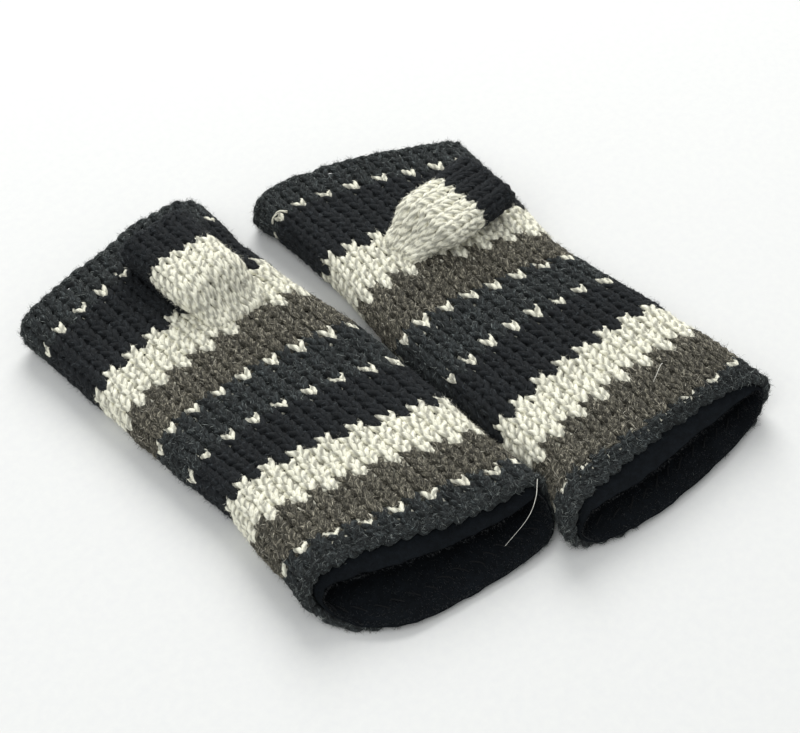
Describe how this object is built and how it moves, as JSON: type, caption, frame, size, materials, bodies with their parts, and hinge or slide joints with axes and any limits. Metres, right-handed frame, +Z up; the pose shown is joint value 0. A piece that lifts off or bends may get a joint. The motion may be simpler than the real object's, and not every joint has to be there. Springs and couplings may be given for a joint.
{
  "type": "fingerless gloves",
  "caption": "Lined, striped, hand-knitted fingerless gloves lying flat side by side, with open cuffs and finger ends and short open thumbs folded over the palms.",
  "frame": {"origin": "middle of the pair, on the surface that it lies on", "axes": "+Y from the cuffs towards the fingers, +X from the left glove to the right one, +Z up"},
  "size_m": [0.2079, 0.2381, 0.0381],
  "materials": {
    "charcoal_wool": "fuzzy knitted wool",
    "black_wool": "fuzzy knitted wool",
    "brown_wool": "heathered knitted wool",
    "cream_wool": "knitted wool",
    "fleece": "brushed fleece",
    "thread": "twisted thread"
  },
  "bodies": {
    "left_cuff": {"left_cuff_edge_knit": "charcoal_wool", "left_cuff_fleck_stitches": "cream_wool", "left_cuff_brown_knit": "brown_wool", "left_cuff_cream_knit": "cream_wool", "left_wrist_black_knit": "black_wool", "left_cuff_hem_thread": "thread"},
    "left_hand": {"left_wrist_fleck_stitches": "cream_wool", "left_palm_charcoal_knit": "charcoal_wool", "left_palm_fleck_stitches": "cream_wool", "left_palm_brown_knit": "brown_wool", "left_palm_cream_knit": "cream_wool", "left_finger_black_knit": "black_wool", "left_finger_fleck_stitches": "cream_wool", "left_finger_edge_knit": "charcoal_wool", "left_thumb_base_knit": "cream_wool", "left_fleece_lining": "fleece", "left_finger_hem_thread": "thread"},
    "left_thumb": {"left_thumb_cream_knit": "cream_wool", "left_thumb_black_knit": "black_wool", "left_thumb_fleece_lining": "fleece", "left_thumb_hem_thread": "thread"},
    "right_cuff": {"right_cuff_edge_knit": "charcoal_wool", "right_cuff_fleck_stitches": "cream_wool", "right_cuff_brown_knit": "brown_wool", "right_cuff_cream_knit": "cream_wool", "right_wrist_black_knit": "black_wool", "right_cuff_hem_thread": "thread"},
    "right_hand": {"right_wrist_fleck_stitches": "cream_wool", "right_palm_charcoal_knit": "charcoal_wool", "right_palm_fleck_stitches": "cream_wool", "right_palm_brown_knit": "brown_wool", "right_palm_cream_knit": "cream_wool", "right_finger_black_knit": "black_wool", "right_finger_fleck_stitches": "cream_wool", "right_finger_edge_knit": "charcoal_wool", "right_thumb_base_knit": "cream_wool", "right_fleece_lining": "fleece", "right_finger_hem_thread": "thread"},
    "right_thumb": {"right_thumb_cream_knit": "cream_wool", "right_thumb_black_knit": "black_wool", "right_thumb_fleece_lining": "fleece", "right_thumb_hem_thread": "thread"}
  },
  "joints": [
    {"name": "right_glove_lift", "type": "slide", "parent": "left_cuff", "child": "right_cuff", "axis": [0, 0, 1], "range_m": [0, 0.15]},
    {"name": "left_wrist_bend", "type": "hinge", "parent": "left_cuff", "child": "left_hand", "pos_m": [-0.05169, -0.01256, 0.00987], "axis": [1, 0, 0], "range_deg": [-45, 60], "deforming": ["left_wrist_black_knit", "left_fleece_lining"]},
    {"name": "left_thumb_fold", "type": "hinge", "parent": "left_hand", "child": "left_thumb", "pos_m": [-0.03679, 0.05687, 0.02821], "axis": [1, 0, 0], "range_deg": [0, 100], "deforming": ["left_thumb_base_knit"]},
    {"name": "right_wrist_bend", "type": "hinge", "parent": "right_cuff", "child": "right_hand", "pos_m": [0.04637, -0.0464, 0.00987], "axis": [0.9976, -0.0698, 0], "range_deg": [-45, 60], "deforming": ["right_wrist_black_knit", "right_fleece_lining"]},
    {"name": "right_thumb_fold", "type": "hinge", "parent": "right_hand", "child": "right_thumb", "pos_m": [0.04105, 0.0297, 0.02821], "axis": [0.0349, -0.9994, 0], "range_deg": [0, 100], "deforming": ["right_thumb_base_knit"]}
  ]
}
